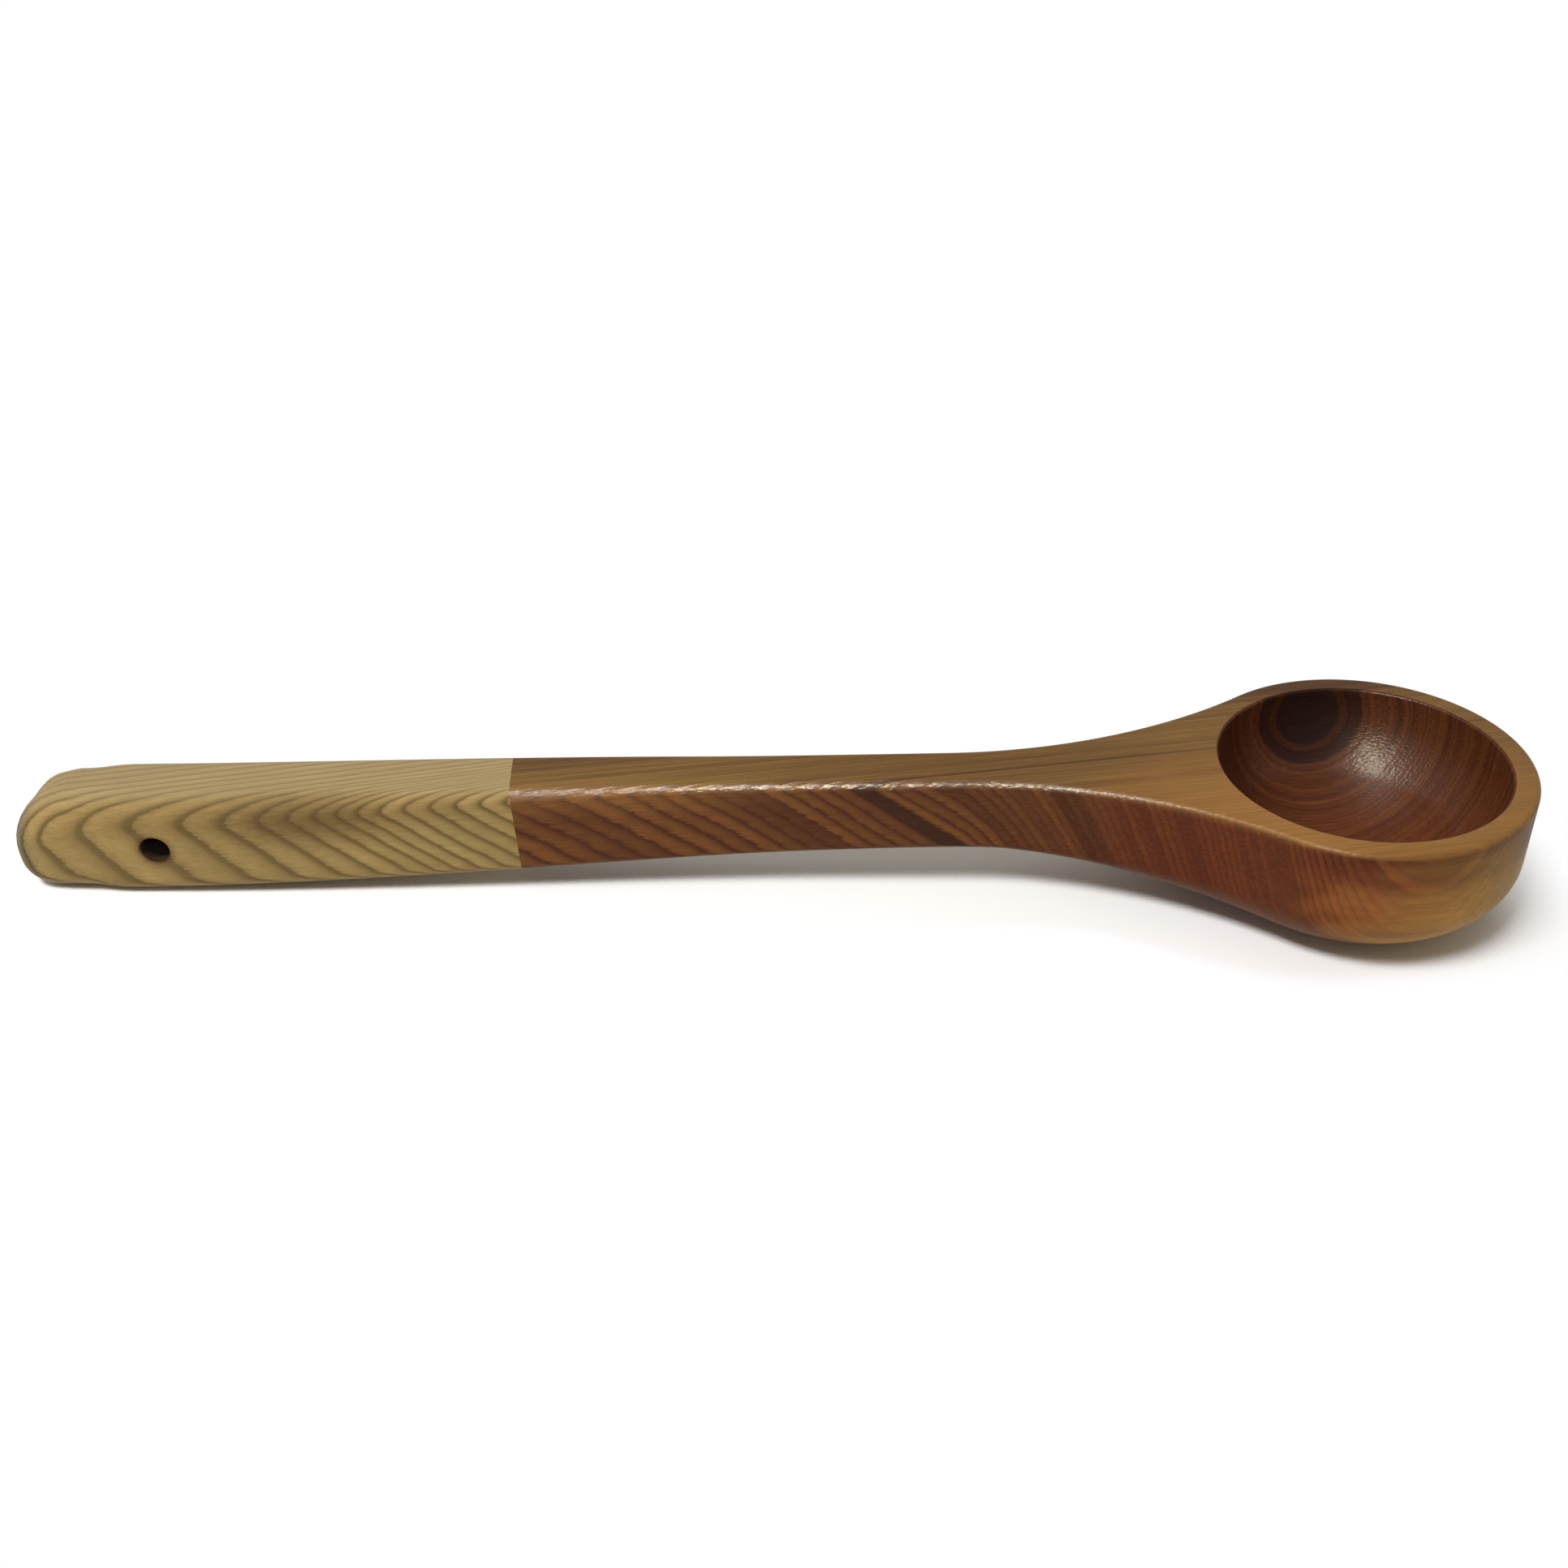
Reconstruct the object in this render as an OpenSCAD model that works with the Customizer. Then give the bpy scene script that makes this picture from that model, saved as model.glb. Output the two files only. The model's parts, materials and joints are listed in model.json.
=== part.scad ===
// Two-tone wooden ladle. The bowl, neck and shaft are carved from one board of brown wood, and a
// pale grip is dowelled and glued to the end of the shaft. The pieces are drawn with the ladle's
// flat top face at z = 0, the grip's end at x = 0 and the bowl towards +X, and are then pitched so
// that the bowl's base and the grip stand on z = 0. All sizes are in millimetres.

/* [Bowl] */
// Radius of the bowl's outer wall
bowl_r = 43; // [41:0.5:48]
// Radius of the bowl's mouth
mouth_r = 37.2; // [32:0.1:38]
// Depth of the bowl's outside, from the rim down
bowl_depth = 40; // [38:0.5:46]
// Depth of the bowl's hollow, from the rim down
hollow_depth = 34; // [28:0.5:34.5]
// Radius of the level middle of the bowl's underside
base_r = 11; // [8:0.5:16]
// Height of the curve that joins the underside to the bowl's wall
base_rise = 20; // [14:0.5:24]
// Round-over of the rim's outer edge
rim_round = 1.4; // [0.6:0.1:2]

/* [Neck and shaft] */
// Distance from the grip's end to the middle of the bowl
bowl_x = 367; // [350:1:390]
// Radius of the hollow curve, seen from above, where the shaft widens into the bowl
neck_r = 140; // [110:1:150]
// Distance over which the underside deepens from the shaft to the middle of the bowl
swell_length = 97; // [80:1:110]
// Width of the shaft at its slimmest
shaft_w = 16.2; // [15:0.1:20]
// Depth of the shaft at its slimmest
shaft_depth = 22; // [18:0.5:25]
// Round-over of the shaft's top edges
shaft_round = 1.8; // [1:0.1:3]
// Round-over of the shaft's bottom edges
shaft_base_round = 2.5; // [1:0.1:4]

/* [Grip] */
// Length of the grip, from its end to the joint
grip_length = 141; // [115:1:160]
// Width of the grip
grip_w = 26.6; // [24:0.2:30]
// Depth of the grip
grip_depth = 30.2; // [29:0.2:34]
// Round-over of the grip's top edges
grip_round = 8.4; // [4:0.1:10]
// Round-over of the grip's bottom edges
grip_base_round = 5.6; // [3:0.1:8]
// Length of the grip's rounded end
end_length = 18.75; // [18.75:0.25:24]
// Squareness of that end seen from above: 2 is an ellipse, and more is squarer
end_squareness = 4.5; // [3.5:0.1:5]
// Round-over of the top edges where that end starts
shoulder_round = 9.8; // [6:0.1:10.4]
// Round-over of the bottom edges there
shoulder_base_round = 8.3; // [5:0.1:9]
// Round-over of the end's top edge
end_round = 18.4; // [10:0.1:18.4]
// Round-over of the end's bottom edge
end_base_round = 10; // [6:0.2:10]

/* [Hanging hole] */
// Diameter of the hole through the grip's sides
hole_d = 8; // [5:0.5:10]
// Distance of the hole's axis from the grip's end
hole_x = 42.4; // [34:0.2:60]
// Depth of the hole's axis below the top face
hole_depth = 15.2; // [14:0.2:17]

/* [Dowel joint] */
// Diameter of the two drilled sockets
socket_d = 10; // [8:1:12]
// Depth of each socket
socket_depth = 31; // [21:1:41]
// Length of the dowel
dowel_length = 60; // [40:2:60]
// Gap for glue all round the dowel
glue_gap = 0.05; // [0.03:0.01:0.1]
// Number of glue flutes along the dowel
flutes = 14; // [8:1:18]
// Depth of each flute
flute_depth = 0.5; // [0.3:0.1:0.8]
// Bevel of the dowel's ends
dowel_bevel = 1.5; // [0.5:0.1:2]

/* [Standing] */
// Distance from the grip's end to the toe that it stands on
toe_x = 8.4; // [7:0.2:10]
// Wood sanded off level under the bowl and the grip, where the ladle stands
sanding = 0.3; // [0.2:0.05:0.5]

/* [Hidden] */

// Steps of the top edge's round-over, of the bottom edge's, of the two round ends, and along the length
edge_steps = 5;
base_steps = 8;
bowl_turns = 32;
end_turns = 24;
station_gap = 5;

// Where the grip's width starts and stops narrowing, and its depth and its edges likewise
taper_from = 30;
taper_to = 220;
arch_from = 35;
arch_to = 260;
soften_from = 40;
soften_to = 185;
// Where the edges have eased from the rounded end's shoulder to the run of the grip
shoulder_to = 34;
// Least width that the edges leave level on top of that end
end_level = 0.3;

// Where the neck's curve leaves the shaft and where it meets the bowl's wall
neck_x = bowl_x - sqrt((bowl_r + neck_r) ^ 2 - (shaft_w / 2 + neck_r) ^ 2);
meet_x = bowl_x - bowl_r * (bowl_x - neck_x) / (bowl_r + neck_r);
swell_x = bowl_x - swell_length;
// The neck's bottom edges start to round a little after the underside starts to deepen
belly_x = swell_x + 7;
crisp_x = 240;

// The ball that cuts the hollow
ball_r = (mouth_r ^ 2 + hollow_depth ^ 2) / (2 * hollow_depth);
ball_z = ball_r - hollow_depth;

joint_x = grip_length;
dowel_z = -depth(joint_x) / 2;
dowel_d = socket_d - 2 * glue_gap;

// The ladle stands on the toe of its grip and on the bowl's base
pitch = atan((bowl_depth - grip_depth) / (bowl_x - toe_x));
lift = grip_depth * cos(pitch) - toe_x * sin(pitch) - sanding;

function mix(a, b, t) = a + (b - a) * t;
function ease(from, to, x) = let(t = min(max((x - from) / (to - from), 0), 1)) t * t * (3 - 2 * t);

// The ladle's sizes at distance x from the grip's end
function half_width(x) =
    x < neck_x ? mix(grip_w, shaft_w, ease(taper_from, taper_to, x)) / 2 :
    x < meet_x ? shaft_w / 2 + neck_r - sqrt(neck_r ^ 2 - (x - neck_x) ^ 2) :
    sqrt(bowl_r ^ 2 - (x - bowl_x) ^ 2);
function depth(x) =
    mix(mix(grip_depth, shaft_depth, ease(arch_from, arch_to, x)), bowl_depth, ease(swell_x, bowl_x, x));
function run_round(x) =
    mix(mix(grip_round, shaft_round, ease(soften_from, soften_to, x)), rim_round, ease(crisp_x, bowl_x, x));
function run_base_round(x) = mix(grip_base_round, shaft_base_round, ease(soften_from, soften_to, x));
function top_round(x) = mix(shoulder_round, run_round(x), ease(end_length, shoulder_to, x));
function base_round(x) = mix(shoulder_base_round, run_base_round(x), ease(end_length, shoulder_to, x));
function base_reach(x) = mix(base_round(x), bowl_r - base_r, ease(belly_x, bowl_x, x));
function base_height(x) = mix(base_round(x), base_rise, ease(belly_x, bowl_x, x));

// One side of a section as [distance out, height], from the middle of the top round to the middle of
// the bottom. The top edge is a quarter circle and the bottom edge a quarter ellipse.
function profile(width, depth, edge, reach, height) = [
    [0, 0],
    for (i = [0 : edge_steps]) let(turn = 90 * i / edge_steps)
        [width - edge + edge * sin(turn), edge * cos(turn) - edge],
    for (i = [0 : base_steps]) let(turn = 90 * i / base_steps)
        [width - reach + reach * cos(turn), height - depth - height * sin(turn)],
    [0, -depth]
];

// A station is its x and the profile of both its sides
function station(x) = [x, profile(half_width(x), depth(x), top_round(x), base_reach(x), base_height(x))];
function stations(from, to) = let(steps = ceil(abs(to - from) / station_gap))
    [for (i = [0 : steps]) station(mix(from, to, i / steps))];

// The profiles that sweep round the bowl's nose, and round the grip's end
bowl_sweep = [for (i = [1 : bowl_turns - 1]) station(bowl_x)[1]];
end_sweep = [for (i = [1 : end_turns - 1]) let(
    along = sin(180 * i / end_turns),
    across = abs(cos(180 * i / end_turns)),
    reach = ((along / end_length) ^ end_squareness + (across / half_width(end_length)) ^ end_squareness)
        ^ (-1 / end_squareness),
    turned = ease(0, 1, along),
    edge = min(mix(shoulder_round, end_round, turned), reach - end_level),
    bottom = mix(shoulder_base_round, end_base_round, turned)
) profile(reach, depth(end_length), edge, bottom, bottom)];

// The skin of a piece that runs from the joint to a round end. Its rows go out along one side, sweep
// round the end and come back along the other side. The two sides share the points on the middle line,
// so those come first: all the top ones, then all the bottom ones.
function row_points(x, angle, profile) = [for (i = [1 : len(profile) - 2])
    [x + profile[i].x * cos(angle), profile[i].x * sin(angle), profile[i].y]];
function skin_points(line, sweep, angle) = let(last = len(line) - 1, turn = 180 / (len(sweep) + 1)) [
    for (s = line) [s[0], 0, 0],
    for (s = line) [s[0], 0, s[1][len(s[1]) - 1].y],
    for (s = line) each row_points(s[0], angle, s[1]),
    for (i = [0 : len(sweep) - 1]) each row_points(line[last][0], angle + turn * (i + 1), sweep[i]),
    for (i = [last : -1 : 0]) each row_points(line[i][0], angle + 180, line[i][1])
];
function skin_faces(stations, sweeps, columns) = let(
    rows = 2 * stations + sweeps,
    middle = function(r) r < stations ? r : r < stations + sweeps ? stations - 1 : rows - 1 - r,
    at = function(r, c)
        c == 0 ? middle(r) :
        c == columns ? stations + middle(r) :
        2 * stations + r * (columns - 1) + c - 1
) [
    for (r = [0 : rows - 2], c = [0 : columns - 1], half = [0, 1]) let(
        near = half == 0 ? at(r + 1, c + 1) : at(r + 1, c),
        far = half == 0 ? at(r, c + 1) : at(r + 1, c + 1)
    ) if (near != at(r, c) && far != at(r, c) && near != far) [at(r, c), near, far],
    [for (c = [0 : columns]) at(0, c), for (c = [columns - 1 : -1 : 1]) at(rows - 1, c)]
];
module carved(line, sweep, angle) {
    polyhedron(skin_points(line, sweep, angle), skin_faces(len(line), len(sweep), len(line[0][1]) - 1));
}

body_line = stations(joint_x, bowl_x);
grip_line = stations(joint_x, end_length);
body_angle = -90;
grip_angle = 90;

// The middle of the standing ladle's length
standing_x = [for (p = concat(skin_points(body_line, bowl_sweep, body_angle),
                              skin_points(grip_line, end_sweep, grip_angle)))
    p.x * cos(pitch) - p.z * sin(pitch)];
centre_x = (min(standing_x) + max(standing_x)) / 2;

// Places a piece as the ladle stands
module standing() {
    translate([-centre_x, 0, lift]) rotate([0, -pitch, 0]) children();
}

// What the sanding takes away, below the surface that the ladle stands on
module below_table() {
    table_l = 2 * (bowl_x + bowl_r);
    table_w = 4 * bowl_r;
    translate([-table_l / 2, -table_w / 2, -bowl_depth]) cube([table_l, table_w, bowl_depth]);
}

// The dowel's socket in both pieces, drilled from the joint
module sockets() {
    translate([joint_x - socket_depth, 0, dowel_z]) rotate([0, 90, 0])
        cylinder(h = 2 * socket_depth, d = socket_d, $fn = 48);
}

// The bowl, neck and shaft
module ladle_body() {
    color("#7a4a2a") difference() {
        standing() carved(body_line, bowl_sweep, body_angle);
        standing() translate([bowl_x, 0, ball_z]) sphere(r = ball_r, $fn = 96);
        standing() sockets();
        below_table();
    }
}

// The pale grip, with the hole to hang the ladle by
module handle_grip() {
    color("#b49a66") difference() {
        standing() carved(grip_line, end_sweep, grip_angle);
        standing() translate([hole_x, grip_w, -hole_depth]) rotate([90, 0, 0])
            cylinder(h = 2 * grip_w, d = hole_d, $fn = 48);
        standing() sockets();
        below_table();
    }
}

// The fluted dowel that is glued into both pieces
module joint_dowel() {
    flute_r = 2 * flute_depth;
    color("#d8b98a") standing() translate([joint_x, 0, dowel_z]) rotate([0, 90, 0]) difference() {
        union() {
            cylinder(h = dowel_length - 2 * dowel_bevel, d = dowel_d, center = true, $fn = 48);
            for (end = [0, 1]) mirror([0, 0, end]) translate([0, 0, dowel_length / 2 - dowel_bevel])
                cylinder(h = dowel_bevel, d1 = dowel_d, d2 = dowel_d - 2 * dowel_bevel, $fn = 48);
        }
        for (i = [0 : flutes - 1]) rotate(360 * i / flutes)
            translate([dowel_d / 2 + flute_r - flute_depth, 0, 0])
                cylinder(h = 2 * dowel_length, r = flute_r, center = true, $fn = 24);
    }
}

ladle_body();
handle_grip();
joint_dowel();
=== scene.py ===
import json
import math
from functools import partial

import bmesh
import bpy
from mathutils import Matrix, Vector


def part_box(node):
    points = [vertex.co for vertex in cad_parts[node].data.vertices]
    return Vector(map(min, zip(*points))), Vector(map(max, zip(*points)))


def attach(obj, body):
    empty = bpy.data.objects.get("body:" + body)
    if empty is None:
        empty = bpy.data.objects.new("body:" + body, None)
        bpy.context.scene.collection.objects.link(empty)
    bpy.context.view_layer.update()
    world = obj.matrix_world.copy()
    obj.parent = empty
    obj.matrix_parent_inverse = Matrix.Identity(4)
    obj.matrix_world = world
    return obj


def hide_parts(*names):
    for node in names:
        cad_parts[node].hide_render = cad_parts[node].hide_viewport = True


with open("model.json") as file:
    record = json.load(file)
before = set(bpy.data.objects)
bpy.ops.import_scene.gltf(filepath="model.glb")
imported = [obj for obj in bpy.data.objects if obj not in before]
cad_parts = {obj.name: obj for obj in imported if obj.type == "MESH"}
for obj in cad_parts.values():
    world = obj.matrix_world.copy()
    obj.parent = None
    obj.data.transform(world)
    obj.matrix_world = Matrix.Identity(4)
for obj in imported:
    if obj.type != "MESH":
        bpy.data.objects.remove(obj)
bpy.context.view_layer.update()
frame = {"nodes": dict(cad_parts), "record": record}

MATH = "ShaderNodeMath"
RANGE = "ShaderNodeMapRange"
NOISE = "ShaderNodeTexNoise"
MAPPING = "ShaderNodeMapping"
MIX = "ShaderNodeMix"
SPLIT = "ShaderNodeSeparateXYZ"
JOIN = "ShaderNodeCombineXYZ"
VECTOR = "ShaderNodeVectorMath"
# Inputs 1 and 2 of a Map Range are the span that it takes, and 3 and 4 the span that it gives
EASED = {"interpolation_type": "SMOOTHSTEP"}

MM = 0.001

# The ladle's shape in millimetres, in the frame of the board that it is carved from: the flat top
# face at z = 0, the grip's end at x = 0 and the bowl towards +X
SHAPE = {
    "bowl_r": 43.0,
    "bowl_x": 367.0,
    "bowl_depth": 40.0,
    "base_r": 11.0,
    "base_rise": 20.0,
    "rim_round": 1.4,
    "neck_r": 140.0,
    "shaft_half": 8.1,
    "shaft_depth": 22.0,
    "shaft_round": 2.5,
    "shaft_base_round": 2.5,
    "grip_half": 13.3,
    "grip_depth": 30.2,
    "grip_round": 8.4,
    "grip_base_round": 5.6,
    "joint_x": 141.0,
    "taper_from": 30.0,
    "taper_to": 220.0,
    "arch_from": 35.0,
    "arch_to": 260.0,
    "shoulder_round": 10.8,
    "shoulder_base_round": 8.3,
    "shoulder_from": 18.75,
    "shoulder_to": 31.2,
    "soften_from": 40.0,
    "soften_to": 185.0,
    "crisp_from": 240.0,
}
SWELL_LENGTH = 97.0
BELLY_DELAY = 7.0
# The grip's end is a rounded square in plan, and its edges grow rounder towards the tip
END_LENGTH = 18.75
END_SQUARENESS = 4.0
END_ROUND = 18.6
END_SLOWNESS = 1.5
END_BASE_ROUND = 10.0
TOE_X = 8.4
# The hollow is part of a ball
MOUTH_R = 36.6
HOLLOW_DEPTH = 34.0
BALL_R = (MOUTH_R ** 2 + HOLLOW_DEPTH ** 2) / (2 * HOLLOW_DEPTH)
BALL_Z = BALL_R - HOLLOW_DEPTH
LIP_ROUND = 0.8
LIP_STRIP = 0.4
# The hanging hole, with half the grip's width there
HOLE_R = 4.0
HOLE_X = 42.4
HOLE_DEPTH = 15.2
HOLE_MIDDLE = (HOLE_X, 0.0, -HOLE_DEPTH)
HOLE_HALF = 13.235
HOLE_BEVEL = 0.4
# How far the joint is out of square, for each millimetre of width, and where along a piece that begins
JOINT_SKEW = 0.12
SKEW_FROM = 0.6
# The dowel's socket in each piece
SOCKET_R = 5.0
SOCKET_DEPTH = 31.0

# Where the neck's curve leaves the shaft, where it meets the bowl's wall, and where the underside swells
centres_apart = SHAPE["bowl_r"] + SHAPE["neck_r"]
neck_span = math.sqrt(centres_apart ** 2 - (SHAPE["shaft_half"] + SHAPE["neck_r"]) ** 2)
SHAPE["neck_x"] = SHAPE["bowl_x"] - neck_span
SHAPE["meet_x"] = SHAPE["bowl_x"] - SHAPE["bowl_r"] * neck_span / centres_apart
SHAPE["swell_x"] = SHAPE["bowl_x"] - SWELL_LENGTH
SHAPE["belly_x"] = SHAPE["swell_x"] + BELLY_DELAY

# The ladle stands on its grip's toe and the bowl's base, so the board is pitched up towards the bowl.
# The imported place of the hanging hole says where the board's frame lies.
PITCH = math.atan((SHAPE["bowl_depth"] - SHAPE["grip_depth"]) / (SHAPE["bowl_x"] - TOE_X))
hole = next(m for m in frame["record"]["mounts"] if m["name"] == "hanging_hole")
BOARD_TO_ROW = Matrix.Rotation(-PITCH, 4, "Y")
BOARD_TO_ROW.translation = Vector(hole["pos_m"]) - BOARD_TO_ROW @ Vector(HOLE_MIDDLE) * MM
ROW_TO_BOARD = BOARD_TO_ROW.inverted()


def add(tree, kind, links=None, **settings):
    """Adds a node, gives it its settings, and links or sets its inputs."""
    node = tree.nodes.new(kind)
    for name, value in settings.items():
        setattr(node, name, value)
    for key, sources in (links or {}).items():
        for source in sources if isinstance(sources, list) else [sources]:
            source = source.outputs[0] if isinstance(source, bpy.types.Node) else source
            if isinstance(source, bpy.types.NodeSocket):
                tree.links.new(source, node.inputs[key])
            else:
                node.inputs[key].default_value = source
    return node


def colour(text):
    """A colour written in sRGB hex, as the linear colour that a shader takes."""
    parts = [int(text[i:i + 2], 16) / 255 for i in (1, 3, 5)]
    return (*(p / 12.92 if p <= 0.04045 else ((p + 0.055) / 1.055) ** 2.4 for p in parts), 1.0)


# The camera stands where the photograph was taken from
CAMERA_PLACE = (0.0303, -0.3455, 0.2615)
CAMERA_TURN = 3.44
CAMERA_DIP = 33.72
CAMERA_ROLL = 1.45
CAMERA_LENS = 35.4
SENSOR_WIDTH = 36.0
NEAREST_SEEN = 0.01
camera = bpy.data.objects.new("camera", bpy.data.cameras.new("camera"))
bpy.context.scene.collection.objects.link(camera)
camera.data.sensor_width = SENSOR_WIDTH
camera.data.lens = CAMERA_LENS
camera.data.clip_start = NEAREST_SEEN
turn = Matrix.Rotation(math.radians(CAMERA_TURN), 4, "Z")
dip = Matrix.Rotation(math.radians(90 - CAMERA_DIP), 4, "X")
roll = Matrix.Rotation(math.radians(-CAMERA_ROLL), 4, "Z")
camera.matrix_world = Matrix.Translation(CAMERA_PLACE) @ turn @ dip @ roll
bpy.context.scene.camera = camera


# WOODS

# How dark the wood is across one year's ring, from its first early wood to its last late wood
RING_DARKNESS = (
    (0.0, 0.6), (0.1, 0.2), (0.25, 0.0), (0.5, 0.12), (0.75, 0.55), (0.92, 1.0), (1.0, 0.95),
)
# Streaks and tears in the grain, in millimetres. Single fibres are too fine to show in the render, so
# these are drawn as coarse as they need to be to show.
FIBRE_LENGTH = 26.0
FIBRE_WIDTH = 0.7
TEAR_LENGTH = 2.5
TEAR_WIDTH = 0.55
# The slow changes of tone along the grain, and of the rings' course
FIGURE_LENGTH = 30.0
FIGURE_WIDTH = 5.0
WANDER_LENGTH = 40.0
WANDER_WIDTH = 14.0
# Where most values of a noise lie, and where all but a few do
NOISE_SPAN = {1: 0.3, 2: 0.7}
WIDE_SPAN = {1: 0.2, 2: 0.8}
# A year's luck, from a year that is dull all through to one that is not
YEAR_LUCK = {1: 0.2, 2: 0.85}
FIGURE_DEPTH = 0.12
# The growth over which the calm of the later years ends, in millimetres, and what is left of it
CALM_FADE = 8.0
CALM_LEFT = 0.2
# The broad bands of the hollow: how many to a millimetre of growth, their lightest tone and their share
BAND_COUNT = 0.45
BAND_LIGHTEST = 0.25
BAND_SHARE = 0.6
# The soft edge of a dark band of hard years, in millimetres
BAND_EDGE = 0.3
# How nearly a face lies along the layers, from a cut across them to a cut along them
LAYER_CUT = {1: 0.45, 2: 0.85}
# A patch's ragged edge: what the fibres add to it, and how far it goes in and out
FIBRE_IN_EDGE = 0.6
EDGE_IN = 0.2
EDGE_OUT = 1.8
# A patch's reach right through the grip, and the depth of wood that counts as the hollow's skin, both in
# millimetres
THROUGH = 1000.0
HOLLOW_SKIN = 0.5
# Pale streaks are weaker than dark ones
PALE_STREAK = 0.7
ROUGHNESS_SPREAD = 0.06
# How proud the late wood stands beside the fibres, and the depth of the relief in millimetres, first in
# the wood and then in the lacquer
LATE_IN_WOOD = 0.35
WOOD_RELIEF = 0.1
LATE_IN_LACQUER = 0.7
LACQUER_RELIEF = 0.2
# Where lacquer is glossy, by how far a face looks up: the shaft's edges and the walls of the hollow.
# Hands hold the shaft as far as the bowl, and the heartwood is the oldest growth.
EDGE_RISE = {1: 0.05, 2: 0.3}
EDGE_FALL = {1: 0.9, 2: 0.99, 3: 1.0, 4: 0.0}
HANDS_REACH = {1: 285.0, 2: 335.0, 3: 1.0, 4: 0.12}
HEARTWOOD = {1: -17.2, 2: -13.4, 4: 0.63}
WALL_RISE = {1: 0.25, 2: 0.5}
WALL_FALL = {1: 0.6, 2: 0.7, 3: 1.0, 4: 0.0}


def wood(name, cut, tones, finish):
    """A wood whose growth rings are cylinders about a pith line outside the board. Places in cut are
    in the board's frame, in millimetres, and an age is a distance grown since a known ring. Of two
    strengths, the first is for the outside and the second for the hollow.

    hollow: the middle and radius of the ball
    years: pairs of an age and the count of years by then
    calm: the ages at its start and at its full, its share, its darkness and the age at its end
    hard_years: the middle age, half the width and two strengths
    patches: the middle, the reach, the raggedness of the edge, two strengths, the tone and its blend
    jag: two strengths
    lacquer: the weight of the coat where it is dull and where it is glossy"""
    material = bpy.data.materials.new(name)
    material.use_nodes = True
    tree = material.node_tree
    node = partial(add, tree)
    shader = tree.nodes["Principled BSDF"]
    place = node("ShaderNodeTexCoord")
    shift = ROW_TO_BOARD.translation / MM
    board = node(MAPPING, {0: place.outputs["Object"], 1: shift, 2: (0, PITCH, 0), 3: (1 / MM,) * 3})
    at = node(SPLIT, {0: board})

    # The fibres run along the layers, and noise stretched along them gives streaks, figure and wander
    along = (0, 0, -cut["fibre_turn"])
    turned = node(MAPPING, {0: board, 2: along})
    fine = node(MAPPING, {0: turned, 3: (1 / FIBRE_LENGTH, 1 / FIBRE_WIDTH, 1 / FIBRE_WIDTH)})
    fibre = node(NOISE, {0: fine, "Scale": 1.0, "Detail": 3.0, "Roughness": 0.65})
    broad = node(MAPPING, {0: turned, 3: (1 / FIGURE_LENGTH, 1 / FIGURE_WIDTH, 1 / FIGURE_WIDTH)})
    figure = node(NOISE, {0: broad, "Scale": 1.0, "Detail": 2.0})
    slow = node(MAPPING, {0: turned, 3: (1 / WANDER_LENGTH, 1 / WANDER_WIDTH, 1 / WANDER_WIDTH)})
    wander = node(NOISE, {0: slow, "Scale": 1.0, "Detail": 2.0})

    # The age at a place, from its distance to the pith line, which leans along the board
    pith_y = {0: at.outputs["X"], 1: cut["lean_y"], 2: cut["pith_y"]}
    pith_y = node(MATH, pith_y, operation="MULTIPLY_ADD")
    pith_z = {0: at.outputs["X"], 1: cut["lean_z"], 2: cut["pith_z"]}
    pith_z = node(MATH, pith_z, operation="MULTIPLY_ADD")
    across = node(MATH, {0: at.outputs["Y"], 1: pith_y}, operation="SUBTRACT")
    up = node(MATH, {0: at.outputs["Z"], 1: pith_z}, operation="SUBTRACT")
    radius = node(VECTOR, {0: node(JOIN, {1: across, 2: up})}, operation="LENGTH").outputs["Value"]
    grown = node(RANGE, {0: wander, 1: 0.0, 2: 1.0, 3: -cut["wander"], 4: cut["wander"]})
    grown = node(MATH, {0: radius, 1: grown}, operation="ADD")
    inside = 0.0
    if cut["hollow"]:
        # Turning has torn the rings of the hollow, so that they waver
        inside = node(VECTOR, {0: board, 1: cut["hollow"][0]}, operation="DISTANCE").outputs["Value"]
        inside = node(MATH, {0: inside, 1: cut["hollow"][1]}, operation="LESS_THAN")
        waver = node(RANGE, {0: figure, **WIDE_SPAN, 3: -cut["waver"], 4: cut["waver"]})
        grown = node(MATH, {0: waver, 1: inside, 2: grown}, operation="MULTIPLY_ADD")
    age = node(MATH, {0: grown, 1: cut["age_from"]}, operation="SUBTRACT")

    # The count of years at that age, and how far through its year the wood is
    first, last = cut["years"][0], cut["years"][-1]
    aged = node(RANGE, {0: age, 1: first[0], 2: last[0]})
    years = node("ShaderNodeFloatCurve", {1: aged})
    count = node(RANGE, {0: years, 3: first[1], 4: last[1]})
    ragged = node(MIX, {0: inside, 2: cut["jag"][0], 3: cut["jag"][1]})
    off = node(MATH, {0: fibre, 1: 0.5}, operation="SUBTRACT")
    jag = node(MATH, {0: off, 1: ragged, 2: count}, operation="MULTIPLY_ADD")
    year = node(MATH, {0: jag}, operation="FLOOR")
    season = node(MATH, {0: jag}, operation="FRACT")
    late = node("ShaderNodeFloatCurve", {1: season})
    year_points = [((a - first[0]) / (last[0] - first[0]), (n - first[1]) / (last[1] - first[1]))
                   for a, n in cut["years"]]
    for curve, points in ((years, year_points), (late, RING_DARKNESS)):
        knots = curve.mapping.curves[0].points
        knots[0].location = points[0]
        knots[1].location = points[-1]
        for point in points[1:-1]:
            knots.new(*point)
        curve.mapping.update()

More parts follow.
